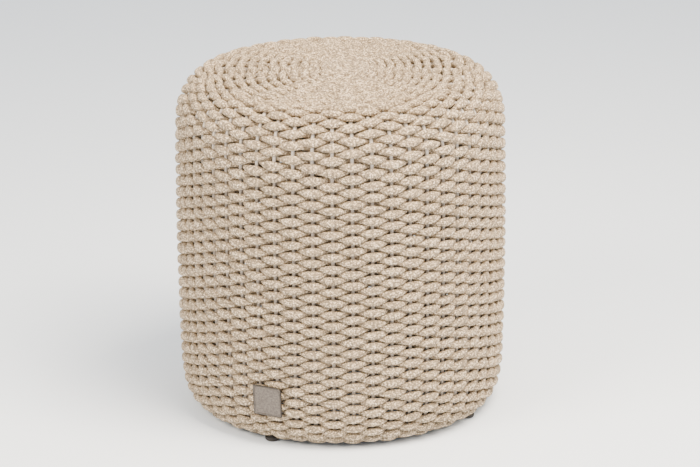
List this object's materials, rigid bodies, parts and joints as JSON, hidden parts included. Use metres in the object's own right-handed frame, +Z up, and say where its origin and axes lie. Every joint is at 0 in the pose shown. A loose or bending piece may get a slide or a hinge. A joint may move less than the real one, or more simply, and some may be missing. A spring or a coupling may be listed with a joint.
{
  "type": "outdoor ottoman footstool",
  "caption": "Round barrel-shaped outdoor footstool with a rope cover woven round a cage of thin metal rods over a tube frame, on small round glides.",
  "frame": {"origin": "on the floor under the middle of the footstool, at the bottom centre of its box", "axes": "+Z up; -Y towards the front; +X to the right seen from the front"},
  "size_m": [0.4294, 0.4294, 0.45],
  "materials": {
    "rope": "heathered braided outdoor rope, matt",
    "frame": "light grey powder coat, satin",
    "glide": "moulded black plastic",
    "plate": "taupe satin metal, bare face",
    "fixing": "plain stainless"
  },
  "bodies": {
    "root": {"woven_cover": "rope", "rod_cage": "frame", "base_ring": "frame", "seat_ring": "frame", "seat_crossbar": "frame", "seat_half_bar_1": "frame", "seat_half_bar_2": "frame", "upright_1": "frame", "upright_2": "frame", "upright_3": "frame", "upright_4": "frame", "leg_stub_1": "frame", "leg_stub_2": "frame", "leg_stub_3": "frame", "leg_stub_4": "frame", "foot_glide_1": "glide", "foot_glide_2": "glide", "foot_glide_3": "glide", "foot_glide_4": "glide", "name_plate": "plate", "plate_stud_1": "fixing", "plate_stud_2": "fixing", "plate_backing_strip": "fixing", "plate_nut_1": "fixing", "plate_nut_2": "fixing"}
  },
  "joints": []
}
